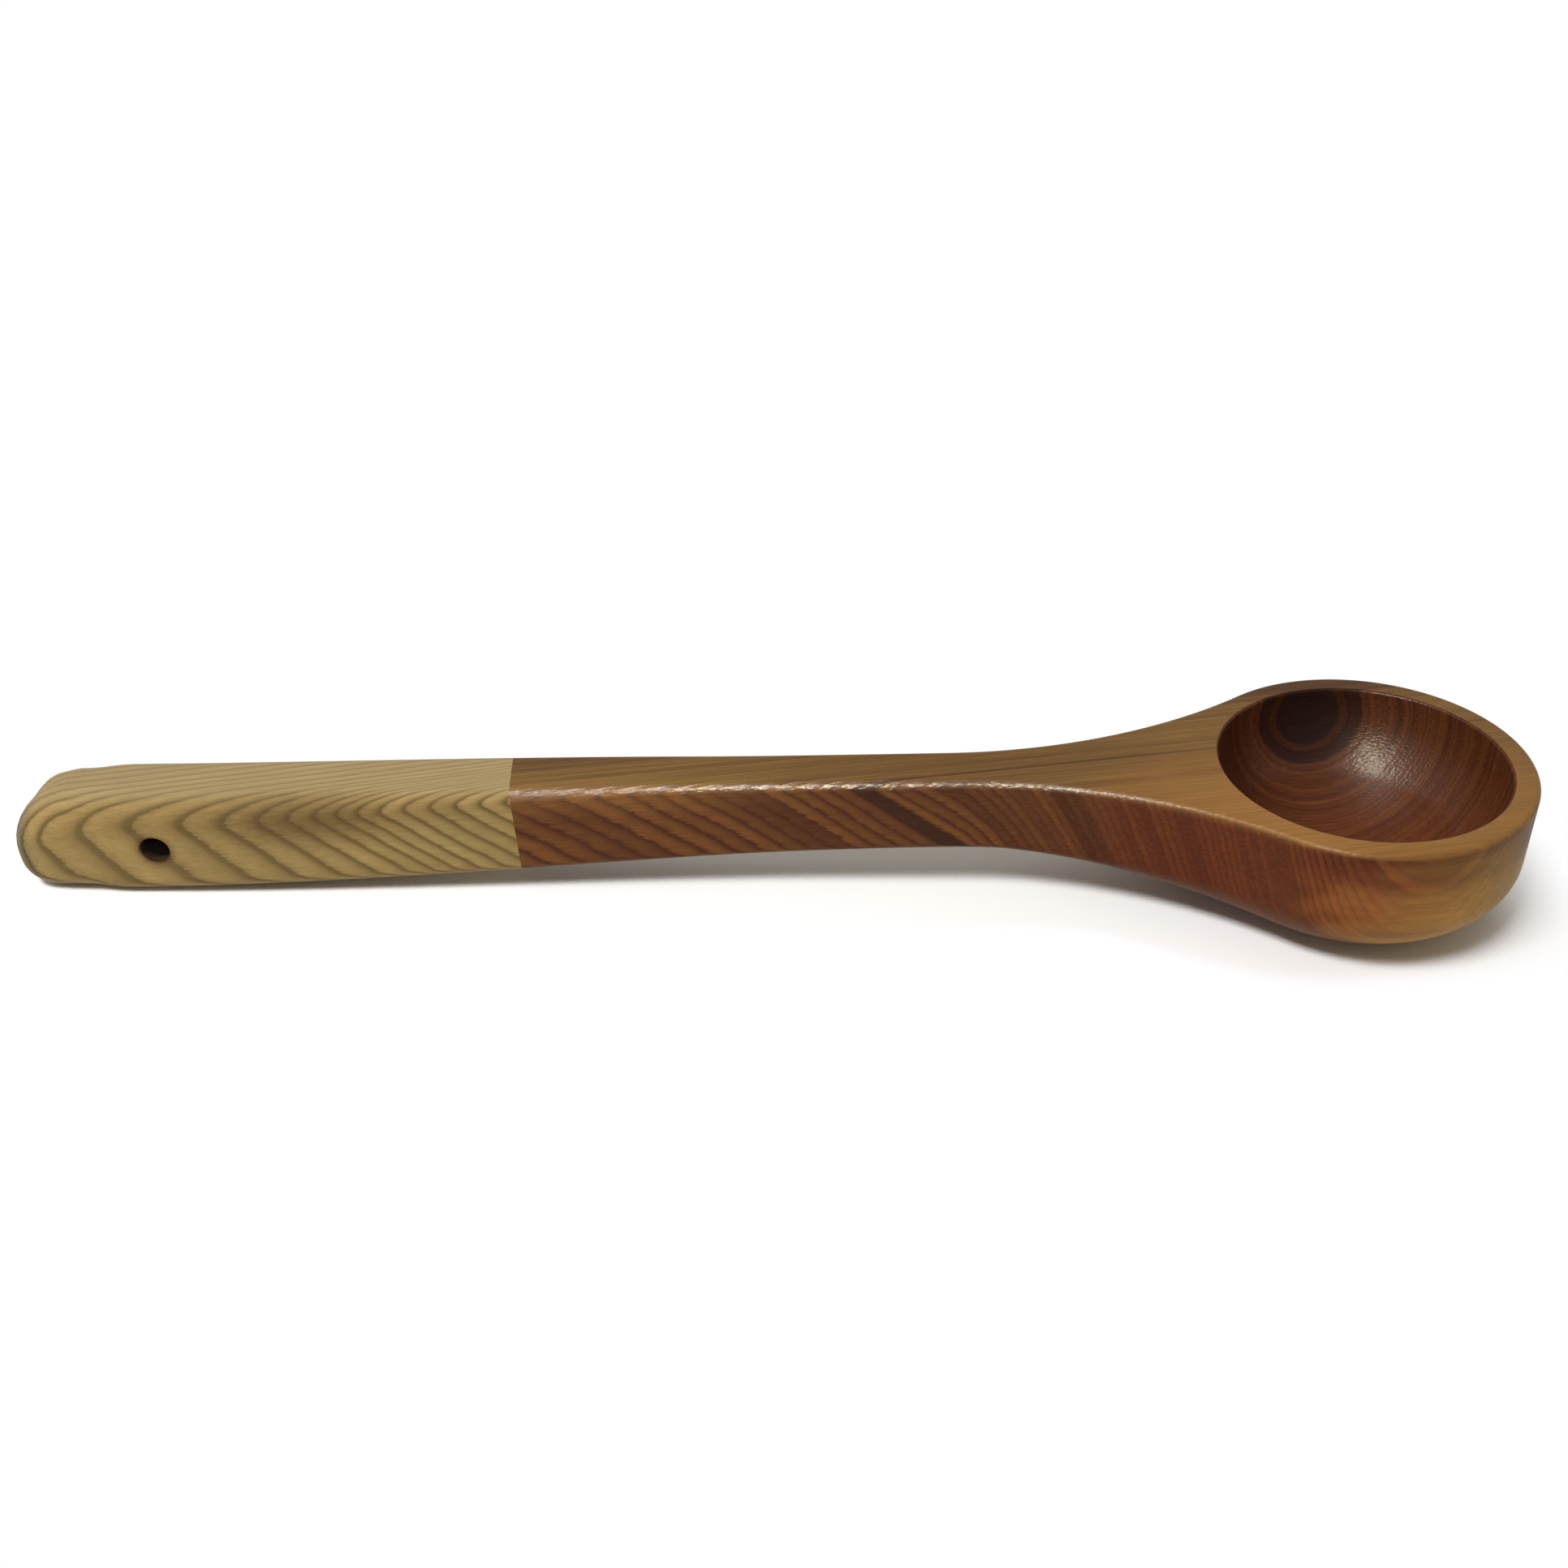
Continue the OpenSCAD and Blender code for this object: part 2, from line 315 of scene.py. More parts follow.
    # A dull year is dark all through, and the late wood of each year is darker still
    year = node(MATH, {0: year, 1: cut["seed"]}, operation="ADD")
    luck = node("ShaderNodeTexWhiteNoise", {"W": year}, noise_dimensions="1D")
    dull = node(RANGE, {0: luck.outputs["Value"], **YEAR_LUCK, 3: cut["dullness"], 4: 0.0})
    slow_tone = node(RANGE, {0: figure, **NOISE_SPAN, 3: -FIGURE_DEPTH, 4: FIGURE_DEPTH})
    dull = node(MATH, {0: dull, 1: slow_tone}, operation="ADD")
    darkness = node(RANGE, {0: late, 3: dull, 4: 1.0})
    if cut["calm"]:
        # Later years differ less from each other and within themselves
        start, full, share, level, end = cut["calm"]
        calm = node(RANGE, {0: age, 1: start, 2: full, 4: share}, **EASED)
        left = node(RANGE, {0: age, 1: end, 2: end + CALM_FADE, 3: 1.0, 4: CALM_LEFT}, **EASED)
        calm = node(MATH, {0: calm, 1: left}, operation="MULTIPLY")
        darkness = node(MIX, {0: calm, 2: darkness, 3: level})
    if cut["hollow"]:
        # Scraping has blurred the years of the hollow into broader bands
        bands = node(NOISE, {"W": age, "Scale": BAND_COUNT, "Detail": 1.0}, noise_dimensions="1D")
        bands = node(RANGE, {0: bands, **NOISE_SPAN, 3: BAND_LIGHTEST, 4: 1.0}, **EASED)
        blurred = node(MATH, {0: inside, 1: BAND_SHARE}, operation="MULTIPLY")
        darkness = node(MIX, {0: blurred, 2: darkness, 3: bands})

    # Cut flat along its layers the wood is redder and darker than cut across them
    normal = node(VECTOR, {0: place.outputs["Normal"], 1: cut["layer_normal"]}, operation="DOT_PRODUCT")
    flat = node(MATH, {0: normal.outputs["Value"]}, operation="ABSOLUTE")
    flat = node(RANGE, {0: flat, **LAYER_CUT}, **EASED)
    if cut["hollow"]:
        # Painted shade: the whole hollow takes the redder, darker tones of wood cut flat
        flat = node(MATH, {0: flat, 1: inside}, operation="MAXIMUM")
    early = {0: flat, 6: colour(tones["early_edge"]), 7: colour(tones["early_flat"])}
    early = node(MIX, early, data_type="RGBA")
    late = {0: flat, 6: colour(tones["late_edge"]), 7: colour(tones["late_flat"])}
    late = node(MIX, late, data_type="RGBA")
    base = node(MIX, {0: darkness, 6: early.outputs[2], 7: late.outputs[2]}, data_type="RGBA")

    if cut["hard_years"]:
        # A run of hard years makes a wide dark band
        dark = {0: flat, 6: colour(tones["dark_edge"]), 7: colour(tones["dark_flat"])}
        dark = node(MIX, dark, data_type="RGBA")
        for middle, half, strength, within in cut["hard_years"]:
            off = node(MATH, {0: age, 1: middle}, operation="SUBTRACT")
            off = node(MATH, {0: off}, operation="ABSOLUTE")
            strength = node(MIX, {0: inside, 2: strength, 3: within})
            band = {0: off, 1: half, 2: half + BAND_EDGE, 3: strength, 4: 0.0}
            band = node(RANGE, band, **EASED)
            base = node(MIX, {0: band, 6: base.outputs[2], 7: dark.outputs[2]}, data_type="RGBA")

    # Places of another tone: stains, sappy patches, a hole's scorched wall, painted light and painted
    # shade
    mottle = node(MATH, {0: fibre, 1: FIBRE_IN_EDGE, 2: figure}, operation="MULTIPLY_ADD")
    for middle, reach, edge, strength, within, tone, blend in cut["patches"]:
        near = node(VECTOR, {0: board, 1: middle}, operation="SUBTRACT")
        near = node(VECTOR, {0: near, 1: tuple(1 / r for r in reach)}, operation="MULTIPLY")
        near = node(VECTOR, {0: near}, operation="LENGTH").outputs["Value"]
        ragged = node(MATH, {0: mottle, 1: edge, 2: near}, operation="MULTIPLY_ADD")
        strength = node(MIX, {0: inside, 2: strength, 3: within})
        patch = {0: ragged, 1: 1.0 - EDGE_IN * edge, 2: 1.0 + EDGE_OUT * edge, 3: strength, 4: 0.0}
        patch = node(RANGE, patch, **EASED)
        patch = {0: patch, 6: base.outputs[2], 7: colour(tone)}
        base = node(MIX, patch, data_type="RGBA", blend_type=blend)

    if cut["hollow"]:
        # Painted shade: the whole hollow is darkened as well
        hollow_shade = {0: inside, 6: base.outputs[2], 7: colour(tones["hollow_shade"])}
        base = node(MIX, hollow_shade, data_type="RGBA", blend_type="MULTIPLY")
    darkest, palest = 1.0 - cut["streaks"], 1.0 + PALE_STREAK * cut["streaks"]
    streak = node(RANGE, {0: fibre, **NOISE_SPAN, 3: darkest, 4: palest})
    base = node(MIX, {0: 1.0, 6: base.outputs[2], 7: streak}, data_type="RGBA", blend_type="MULTIPLY")
    tree.links.new(base.outputs[2], shader.inputs["Base Color"])

    # Fibres and late wood stand a little proud after sanding
    height = node(MATH, {0: darkness, 1: LATE_IN_WOOD, 2: fibre}, operation="MULTIPLY_ADD")
    relief = {"Strength": cut["relief"], "Distance": WOOD_RELIEF * MM, "Height": height}
    relief = node("ShaderNodeBump", relief)
    tree.links.new(relief.outputs[0], shader.inputs["Normal"])
    smoothest, roughest = cut["roughness"] - ROUGHNESS_SPREAD, cut["roughness"] + ROUGHNESS_SPREAD
    rough = node(RANGE, {0: fibre, **NOISE_SPAN, 3: smoothest, 4: roughest})
    tree.links.new(rough.outputs[0], shader.inputs["Roughness"])
    if cut["lacquer"]:
        # Hands rub the lacquer glossy along the shaft's edges. In the hollow the walls are glossy, and
        # the scraped bottom and the dark heartwood are dull. Rings and short torn fibres break up the
        # shine.
        upward = node(SPLIT, {0: place.outputs["Normal"]}).outputs["Z"]
        rise = node(RANGE, {0: upward, **EDGE_RISE}, **EASED)
        fall = node(RANGE, {0: upward, **EDGE_FALL}, **EASED)
        rubbed = node(MATH, {0: rise, 1: fall}, operation="MULTIPLY")
        held = node(RANGE, {0: at.outputs["X"], **HANDS_REACH}, **EASED)
        rubbed = node(MATH, {0: rubbed, 1: held}, operation="MULTIPLY")
        sound = node(RANGE, {0: age, **HEARTWOOD})
        walls = node(RANGE, {0: upward, **WALL_RISE, 4: sound}, **EASED)
        scraped = node(RANGE, {0: upward, **WALL_FALL}, **EASED)
        walls = node(MATH, {0: walls, 1: scraped}, operation="MULTIPLY")
        rubbed = node(MIX, {0: inside, 2: rubbed, 3: walls})
        coat = node(RANGE, {0: rubbed, 3: cut["lacquer"][0], 4: cut["lacquer"][1]})
        tree.links.new(coat.outputs[0], shader.inputs["Coat Weight"])
        short = node(MAPPING, {0: turned, 3: (1 / TEAR_LENGTH, 1 / TEAR_WIDTH, 1 / TEAR_WIDTH)})
        torn = node(NOISE, {0: short, "Scale": 1.0, "Detail": 1.0})
        torn = node(MATH, {0: darkness, 1: LATE_IN_LACQUER, 2: torn}, operation="MULTIPLY_ADD")
        shine = {"Strength": cut["torn"], "Distance": LACQUER_RELIEF * MM, "Height": torn}
        shine = node("ShaderNodeBump", shine)
        tree.links.new(shine.outputs[0], shader.inputs["Coat Normal"])
    for socket, value in finish.items():
        shader.inputs[socket].default_value = value
    return material


# A brown softwood, turned and sanded, under satin lacquer: golden early wood and red-brown late wood in
# narrow years, with a soft sheen on the flats and bright glints along the edges
brown_wood = wood(
    "lacquered brown softwood",
    {
        "pith_y": 540.0, "lean_y": 0.0977, "pith_z": -59.6, "lean_z": -0.247, "age_from": 577.86,
        "layer_normal": (0.14, -0.97, 0.2), "fibre_turn": 0.15,
        "years": (
            (-45.0, -43.3), (-6.0, 2.0), (-2.2, 6.0), (10.4, 21.0),
            (20.2, 32.0), (31.4, 42.0), (75.0, 81.6),
        ),
        "seed": 422922, "dullness": 0.9, "calm": (6.0, 16.0, 0.6, 0.57, 41.0), "waver": 0.2,
        "hard_years": (
            (-28.95, 10.75, 0.5, 1.0), (-17.8, 0.6, 0.0, 0.55), (-16.7, 0.6, 0.5, 0.85),
            (5.0, 0.4, 0.6, 0.0), (15.7, 1.2, 0.4, 0.1),
        ),
        "patches": [
            # Red wood on the bowl's front and a golden patch low to its right
            ((344.0, -32.0, -18.0), (64.0, 30.0, 34.0), 0.6, 1.0, 1.0, "#f2c4c0", "MULTIPLY"),
            ((370.0, -42.0, -18.0), (22.0, 14.0, 13.0), 0.6, 0.85, 0.45, "#673c1c", "ADD"),
            ((400.0, -34.0, -30.0), (37.0, 32.0, 25.5), 0.6, 0.97, 0.15, "#927d3e", "ADD"),
            # Painted shade: a greyer, darker patch under the rim at the bowl's right end
            ((404.0, -20.0, -8.0), (9.0, 14.0, 4.5), 0.7, 0.7, 0.0, "#a8968c", "MULTIPLY"),
            # The rim's front and back, and the top of the neck and of the shaft
            ((372.0, -24.0, 0.0), (56.0, 44.0, 1.3), 0.5, 0.65, 0.0, "#8f6431", "MIX"),
            ((362.0, 42.0, 0.0), (34.0, 10.0, 4.0), 0.5, 0.9, 0.0, "#d6c8c6", "MULTIPLY"),
            ((326.0, -26.0, 0.0), (46.0, 22.0, 2.0), 0.6, 0.8, 0.0, "#54401e", "ADD"),
            ((258.0, 4.0, 0.0), (40.0, 9.0, 3.0), 0.8, 0.6, 0.0, "#d8ccc2", "MULTIPLY"),
            # Painted light: a golden strip along the shaft's front top edge, as its rounding catches the
            # light
            ((168.0, -11.0, -2.0), (44.0, 6.0, 4.5), 0.8, 0.75, 0.0, "#5a4422", "ADD"),
            # Painted shade on the hollow's left wall, and its bottom made lighter and redder
            ((333.0, 0.0, -14.0), (16.0, 30.0, 18.0), 0.5, 0.0, 0.8, "#cfc1ba", "MULTIPLY"),
            ((376.0, -6.0, -30.0), (30.0, 30.0, 18.0), 0.6, 0.0, 0.7, "#3e2010", "ADD"),
        ],
        "hollow": ((SHAPE["bowl_x"], 0.0, BALL_Z), BALL_R + HOLLOW_SKIN),
        "wander": 0.3, "jag": (0.5, 0.8), "streaks": 0.26, "relief": 0.2, "roughness": 0.5,
        "lacquer": (0.04, 0.41), "torn": 0.9,
    },
    {
        "early_flat": "#7b4d25", "late_flat": "#512b18", "dark_flat": "#2c170e",
        "early_edge": "#7e5e2f", "late_edge": "#684a24", "dark_edge": "#50321a", "hollow_shade": "#d8c4c6",
    },
    {"Specular IOR Level": 0.08, "Coat Roughness": 0.3, "Coat IOR": 1.6},
)
# The same kind of wood left pale, sanded and matt: straw early wood, with wide years towards the end
pale_wood = wood(
    "sanded pale softwood",
    {
        "pith_y": 388.6, "lean_y": 0.124, "pith_z": -53.4, "lean_z": -0.3914, "age_from": 420.8,
        "layer_normal": (0.2, -0.96, 0.2), "fibre_turn": 0.2,
        "years": (
            (-52.0, -9.0), (-26.0, 0.0), (-17.4, 3.0), (-12.5, 5.0), (-7.35, 7.0),
            (-3.65, 9.0), (-0.9, 11.0), (2.27, 14.0), (6.04, 17.0), (13.0, 22.5),
        ),
        "seed": 40, "dullness": 0.2, "calm": None, "hard_years": (),
        "patches": [
            # A dark streak along the grip's side, its top edge and its greyer end
            ((84.0, -14.0, -7.0), (22.0, 7.0, 7.5), 0.7, 0.6, 0.0, "#664d2a", "MIX"),
            ((80.0, -12.5, -4.0), (66.0, 5.0, 5.0), 0.8, 0.65, 0.0, "#dcd6ca", "MULTIPLY"),
            ((-2.0, 0.0, -15.0), (10.0, 30.0, 30.0), 0.3, 1.0, 0.0, "#c8d0e6", "MULTIPLY"),
            # The hole's scorched mouth and wall, and painted shade deep in the bore, near black
            (HOLE_MIDDLE, (HOLE_R + 1.2, THROUGH, HOLE_R + 1.2), 0.3, 0.6, 0.0, "#5f3d1e", "MIX"),
            (HOLE_MIDDLE, (HOLE_R + 0.3, THROUGH, HOLE_R + 0.3), 0.1, 1.0, 0.0, "#32170b", "MIX"),
            (HOLE_MIDDLE, (HOLE_R + 4.0, 12.0, HOLE_R + 4.0), 0.05, 1.0, 0.0, "#050302", "MIX"),
        ],
        "hollow": None,
        "wander": 0.3, "jag": (0.16, 0.16), "streaks": 0.16, "relief": 0.25, "roughness": 0.68,
        "lacquer": None,
    },
    {
        "early_flat": "#ae925a", "late_flat": "#766037",
        "early_edge": "#a69167", "late_edge": "#8e7954",
    },
    {"Specular IOR Level": 0.15},
)
# Beech, turned to a rod and pressed into flutes: fine, even and pinkish pale
dowel_wood = wood(
    "fluted beech dowel",
    {
        "pith_y": 100.0, "lean_y": 0.0, "pith_z": -60.0, "lean_z": 0.0, "age_from": 116.0,
        "layer_normal": (0.0, -0.86, 0.5), "fibre_turn": 0.0,
        "years": ((-12.0, -6.0), (12.0, 6.0)), "seed": 7, "dullness": 0.2, "calm": None,
        "hard_years": (), "patches": [], "hollow": None,
        "wander": 0.5, "jag": (0.2, 0.2), "streaks": 0.1, "relief": 0.2, "roughness": 0.6,
        "lacquer": None,
    },
    {
        "early_flat": "#d8b98a", "late_flat": "#b98f5e",
        "early_edge": "#d8b98a", "late_edge": "#c09868",
    },
    {"Specular IOR Level": 0.4},
)


# SHAPES

# A section of the ladle is swept as one row of a grid. Its columns go from the flat top over the top
# edge, down the side, round the bottom edge and along the bottom to the middle.
COLUMN_STEPS = {"strip": 1, "edge": 10, "wall": 6, "bottom_edge": 16, "bottom": 3}
# The share of the flat top's half width that its fill covers, up to the swept strip
STRIP_START = 0.97
# The joint is at 1 along the grid, and the row past it is drawn in to close the joint's face
PAST_JOINT = 1.01
CAP_FROM = 1.008
# Points nearer than this, in millimetres, are one
WELD = 0.002
HOLLOW_STEPS = {"strip": 1, "lip": 6, "ball": 40}
DRILL_SIDES = 64
SHARP_ANGLE = 35.0


def new_tree(name, sizes):
    """An empty Geometry Nodes tree with a named input for each size."""
    tree = bpy.data.node_groups.new(name, "GeometryNodeTree")
    tree.interface.new_socket("Geometry", in_out="OUTPUT", socket_type="NodeSocketGeometry")
    for size, value in sizes.items():
        kind = "NodeSocketInt" if isinstance(value, int) else "NodeSocketFloat"
        tree.interface.new_socket(size, in_out="INPUT", socket_type=kind)
    return tree


def carved_skin(node, given):
    """The swept outside of a piece, from the joint along one side, round the end and back to the joint.
    It stays open only along the edge of the flat top face."""
    columns = sum(COLUMN_STEPS.values())
    grid = node("GeometryNodeMeshGrid", {0: 2 * PAST_JOINT, 1: 1.0, 2: given["rows"], 3: columns + 1})
    flat = node(SPLIT, {0: node("GeometryNodeInputPosition")})
    along = node(MATH, {0: flat.outputs["X"]}, operation="ABSOLUTE")
    x = node(RANGE, {0: along, 1: given["turn_share"], 2: 1.0, 3: given["end_x"], 4: given["joint_x"]})
    swing = node(MATH, {0: flat.outputs["X"], 1: given["turn_share"]}, operation="DIVIDE")
    angle = node(RANGE, {0: swing, 1: -1.0, 2: 1.0, 3: -math.pi / 2, 4: math.pi / 2})
    ahead = node(MATH, {0: node(MATH, {0: angle}, operation="COSINE"), 1: 0.0}, operation="MAXIMUM")
    aside = node(MATH, {0: angle}, operation="SINE")

    # Half the width: the taper of grip and shaft, then the neck's arc, then the bowl's circle
    taper = {1: given["taper_from"], 2: given["taper_to"], 3: given["grip_half"], 4: given["shaft_half"]}
    slim = node(RANGE, {0: x, **taper}, **EASED)
    past_neck = node(MATH, {0: x, 1: given["neck_x"]}, operation="SUBTRACT")
    past_neck = node(MATH, {0: past_neck, 1: 0.0}, operation="MAXIMUM")
    arc = node(MATH, {0: past_neck, 1: 2.0}, operation="POWER")
    neck_square = node(MATH, {0: given["neck_r"], 1: 2.0}, operation="POWER")
    arc = node(MATH, {0: neck_square, 1: arc}, operation="SUBTRACT")
    arc = node(MATH, {0: arc}, operation="SQRT")
    arc = node(MATH, {0: given["neck_r"], 1: arc}, operation="SUBTRACT")
    run = node(MATH, {0: slim, 1: arc}, operation="ADD")
    ring = node(MATH, {0: x, 1: given["bowl_x"]}, operation="SUBTRACT")
    ring = node(MATH, {0: ring, 1: 2.0}, operation="POWER")
    bowl_square = node(MATH, {0: given["bowl_r"], 1: 2.0}, operation="POWER")
    ring = node(MATH, {0: bowl_square, 1: ring}, operation="SUBTRACT")
    ring = node(MATH, {0: ring}, operation="SQRT")
    at_bowl = node(MATH, {0: x, 1: given["meet_x"]}, operation="GREATER_THAN")
    half = node("GeometryNodeSwitch", {0: at_bowl, 1: run, 2: ring}, input_type="FLOAT")

    # The reach from the turning point: a rounded square at the grip's end and a circle at the bowl
    square = given["end_squareness"]
    ahead_part = node(MATH, {0: ahead, 1: given["end_reach"]}, operation="DIVIDE")
    ahead_part = node(MATH, {0: ahead_part, 1: square}, operation="POWER")
    aside_part = node(MATH, {0: aside}, operation="ABSOLUTE")
    aside_part = node(MATH, {0: aside_part, 1: half}, operation="DIVIDE")
    aside_part = node(MATH, {0: aside_part, 1: square}, operation="POWER")
    both = node(MATH, {0: ahead_part, 1: aside_part}, operation="ADD")
    root = node(MATH, {0: -1.0, 1: square}, operation="DIVIDE")
    reach = node(MATH, {0: both, 1: root}, operation="POWER")

    # The depth, and the sizes of the top and bottom edges
    arch = {1: given["arch_from"], 2: given["arch_to"], 3: given["grip_depth"], 4: given["shaft_depth"]}
    depth = node(RANGE, {0: x, **arch}, **EASED)
    swell = {1: given["swell_x"], 2: given["bowl_x"], 3: depth, 4: given["bowl_depth"]}
    depth = node(RANGE, {0: x, **swell}, **EASED)
    soften = {1: given["soften_from"], 2: given["soften_to"]}
    edge = {**soften, 3: given["grip_round"], 4: given["shaft_round"]}
    edge = node(RANGE, {0: x, **edge}, **EASED)
    crisp = {1: given["crisp_from"], 2: given["bowl_x"], 3: edge, 4: given["rim_round"]}
    edge = node(RANGE, {0: x, **crisp}, **EASED)
    shoulder = {1: given["shoulder_from"], 2: given["shoulder_to"]}
    edge = node(RANGE, {0: x, **shoulder, 3: given["shoulder_round"], 4: edge}, **EASED)
    turned = node(MATH, {0: ahead, 1: END_SLOWNESS}, operation="POWER")
    edge = node(RANGE, {0: turned, 3: edge, 4: given["end_round"]}, **EASED)
    low = {**soften, 3: given["grip_base_round"], 4: given["shaft_base_round"]}
    low = node(RANGE, {0: x, **low}, **EASED)
    low = node(RANGE, {0: x, **shoulder, 3: given["shoulder_base_round"], 4: low}, **EASED)
    belly = {1: given["belly_x"], 2: given["bowl_x"], 3: low}
    belly_in = node(MATH, {0: given["bowl_r"], 1: given["base_r"]}, operation="SUBTRACT")
    low_in = node(RANGE, {0: x, **belly, 4: belly_in}, **EASED)
    low_in = node(RANGE, {0: ahead, 3: low_in, 4: given["end_base_in"]}, **EASED)
    low_up = node(RANGE, {0: x, **belly, 4: given["base_rise"]}, **EASED)
    low_up = node(RANGE, {0: ahead, 3: low_up, 4: given["end_base_up"]}, **EASED)

    # Each stretch of columns has its own share of the way down
    down = node(MATH, {0: flat.outputs["Y"], 1: 0.5}, operation="ADD")
    share = {}
    from_column = 0
    full = {"strip": 1.0, "edge": math.pi / 2, "wall": 1.0, "bottom_edge": math.pi / 2, "bottom": 1.0}
    for stretch, steps in COLUMN_STEPS.items():
        ends = {1: from_column / columns, 2: (from_column + steps) / columns}
        start = STRIP_START if stretch == "strip" else 0.0
        share[stretch] = node(RANGE, {0: down, **ends, 3: start, 4: full[stretch]})
        from_column += steps

    # How far out the column lies
    out = node(MATH, {0: reach, 1: edge}, operation="SUBTRACT")
    out = node(MATH, {0: out, 1: share["strip"]}, operation="MULTIPLY")
    over = node(MATH, {0: share["edge"]}, operation="SINE")
    out = node(MATH, {0: edge, 1: over, 2: out}, operation="MULTIPLY_ADD")
    under = node(MATH, {0: share["bottom_edge"]}, operation="COSINE")
    under = node(MATH, {0: under, 1: 1.0}, operation="SUBTRACT")
    out = node(MATH, {0: low_in, 1: under, 2: out}, operation="MULTIPLY_ADD")
    inward = node(MATH, {0: low_in, 1: reach}, operation="SUBTRACT")
    out = node(MATH, {0: inward, 1: share["bottom"], 2: out}, operation="MULTIPLY_ADD")
    open_row = node(MATH, {0: along, 1: CAP_FROM}, operation="LESS_THAN")
    out = node(MATH, {0: out, 1: open_row}, operation="MULTIPLY")

    # How far down it lies
    fall = node(MATH, {0: share["edge"]}, operation="COSINE")
    fall = node(MATH, {0: fall, 1: 1.0}, operation="SUBTRACT")
    drop = node(MATH, {0: edge, 1: fall}, operation="MULTIPLY")
    wall = node(MATH, {0: low_up, 1: depth}, operation="SUBTRACT")
    wall = node(MATH, {0: wall, 1: edge}, operation="ADD")
    drop = node(MATH, {0: wall, 1: share["wall"], 2: drop}, operation="MULTIPLY_ADD")
    curl = node(MATH, {0: share["bottom_edge"]}, operation="SINE")
    curl = node(MATH, {0: low_up, 1: curl}, operation="MULTIPLY")
    drop = node(MATH, {0: drop, 1: curl}, operation="SUBTRACT")
    middle = node(MATH, {0: depth, 1: down}, operation="MULTIPLY")
    middle = node(MATH, {0: middle, 1: -1.0}, operation="MULTIPLY")
    drop = node("GeometryNodeSwitch", {0: open_row, 1: middle, 2: drop}, input_type="FLOAT")

    out_ahead = node(MATH, {0: out, 1: ahead}, operation="MULTIPLY")
    x = node(MATH, {0: out_ahead, 1: given["end_way"], 2: x}, operation="MULTIPLY_ADD")
    y = node(MATH, {0: out, 1: aside}, operation="MULTIPLY")
    # The joint is sawn a little out of square
    skew = node(RANGE, {0: along, 1: SKEW_FROM, 2: 1.0, 4: -JOINT_SKEW}, **EASED)
    x = node(MATH, {0: y, 1: skew, 2: x}, operation="MULTIPLY_ADD")
    return node("GeometryNodeSetPosition", {0: grid, 2: node(JOIN, {0: x, 1: y, 2: drop})})


def turned_hollow(node, given):
    """The ball-shaped hollow with its rounded lip, turned about the bowl's middle."""
    rows = sum(HOLLOW_STEPS.values())
    grid = node("GeometryNodeMeshGrid", {0: 2 * math.pi, 1: 1.0, 2: given["hollow_turns"], 3: rows + 1})
    flat = node(SPLIT, {0: node("GeometryNodeInputPosition")})
    down = node(MATH, {0: flat.outputs["Y"], 1: 0.5}, operation="ADD")
    strip_end = HOLLOW_STEPS["strip"] / rows
    lip_end = (HOLLOW_STEPS["strip"] + HOLLOW_STEPS["lip"]) / rows
    strip = node(RANGE, {0: down, 1: 0.0, 2: strip_end, 3: given["lip_strip"], 4: 0.0})
    tip = node(RANGE, {0: down, 1: strip_end, 2: lip_end, 3: math.pi / 2, 4: given["lip_turn"]})
    dive = node(RANGE, {0: down, 1: lip_end, 2: 1.0, 3: given["ball_turn"], 4: 0.0})
    lip_out = node(MATH, {0: strip, 1: given["lip_out"]}, operation="ADD")
    tip_out = node(MATH, {0: tip}, operation="COSINE")
    lip_out = node(MATH, {0: tip_out, 1: given["lip_round"], 2: lip_out}, operation="MULTIPLY_ADD")
    tip_up = node(MATH, {0: tip}, operation="SINE")
    tip_up = node(MATH, {0: tip_up, 1: 1.0}, operation="SUBTRACT")
    lip_up = node(MATH, {0: tip_up, 1: given["lip_round"]}, operation="MULTIPLY")
    ball_out = node(MATH, {0: dive}, operation="SINE")
    ball_out = node(MATH, {0: ball_out, 1: given["ball_r"]}, operation="MULTIPLY")
    ball_down = node(MATH, {0: dive}, operation="COSINE")
    ball_down = node(MATH, {0: ball_down, 1: given["ball_r"]}, operation="MULTIPLY")
    ball_up = node(MATH, {0: given["ball_z"], 1: ball_down}, operation="SUBTRACT")
    in_ball = node(MATH, {0: down, 1: lip_end}, operation="GREATER_THAN")
    out = node("GeometryNodeSwitch", {0: in_ball, 1: lip_out, 2: ball_out}, input_type="FLOAT")
    up = node("GeometryNodeSwitch", {0: in_ball, 1: lip_up, 2: ball_up}, input_type="FLOAT")
    ahead = node(MATH, {0: flat.outputs["X"]}, operation="COSINE")
    aside = node(MATH, {0: flat.outputs["X"]}, operation="SINE")
    x = node(MATH, {0: out, 1: ahead, 2: given["bowl_x"]}, operation="MULTIPLY_ADD")
    y = node(MATH, {0: out, 1: aside}, operation="MULTIPLY")
    return node("GeometryNodeSetPosition", {0: grid, 2: node(JOIN, {0: x, 1: y, 2: up})})


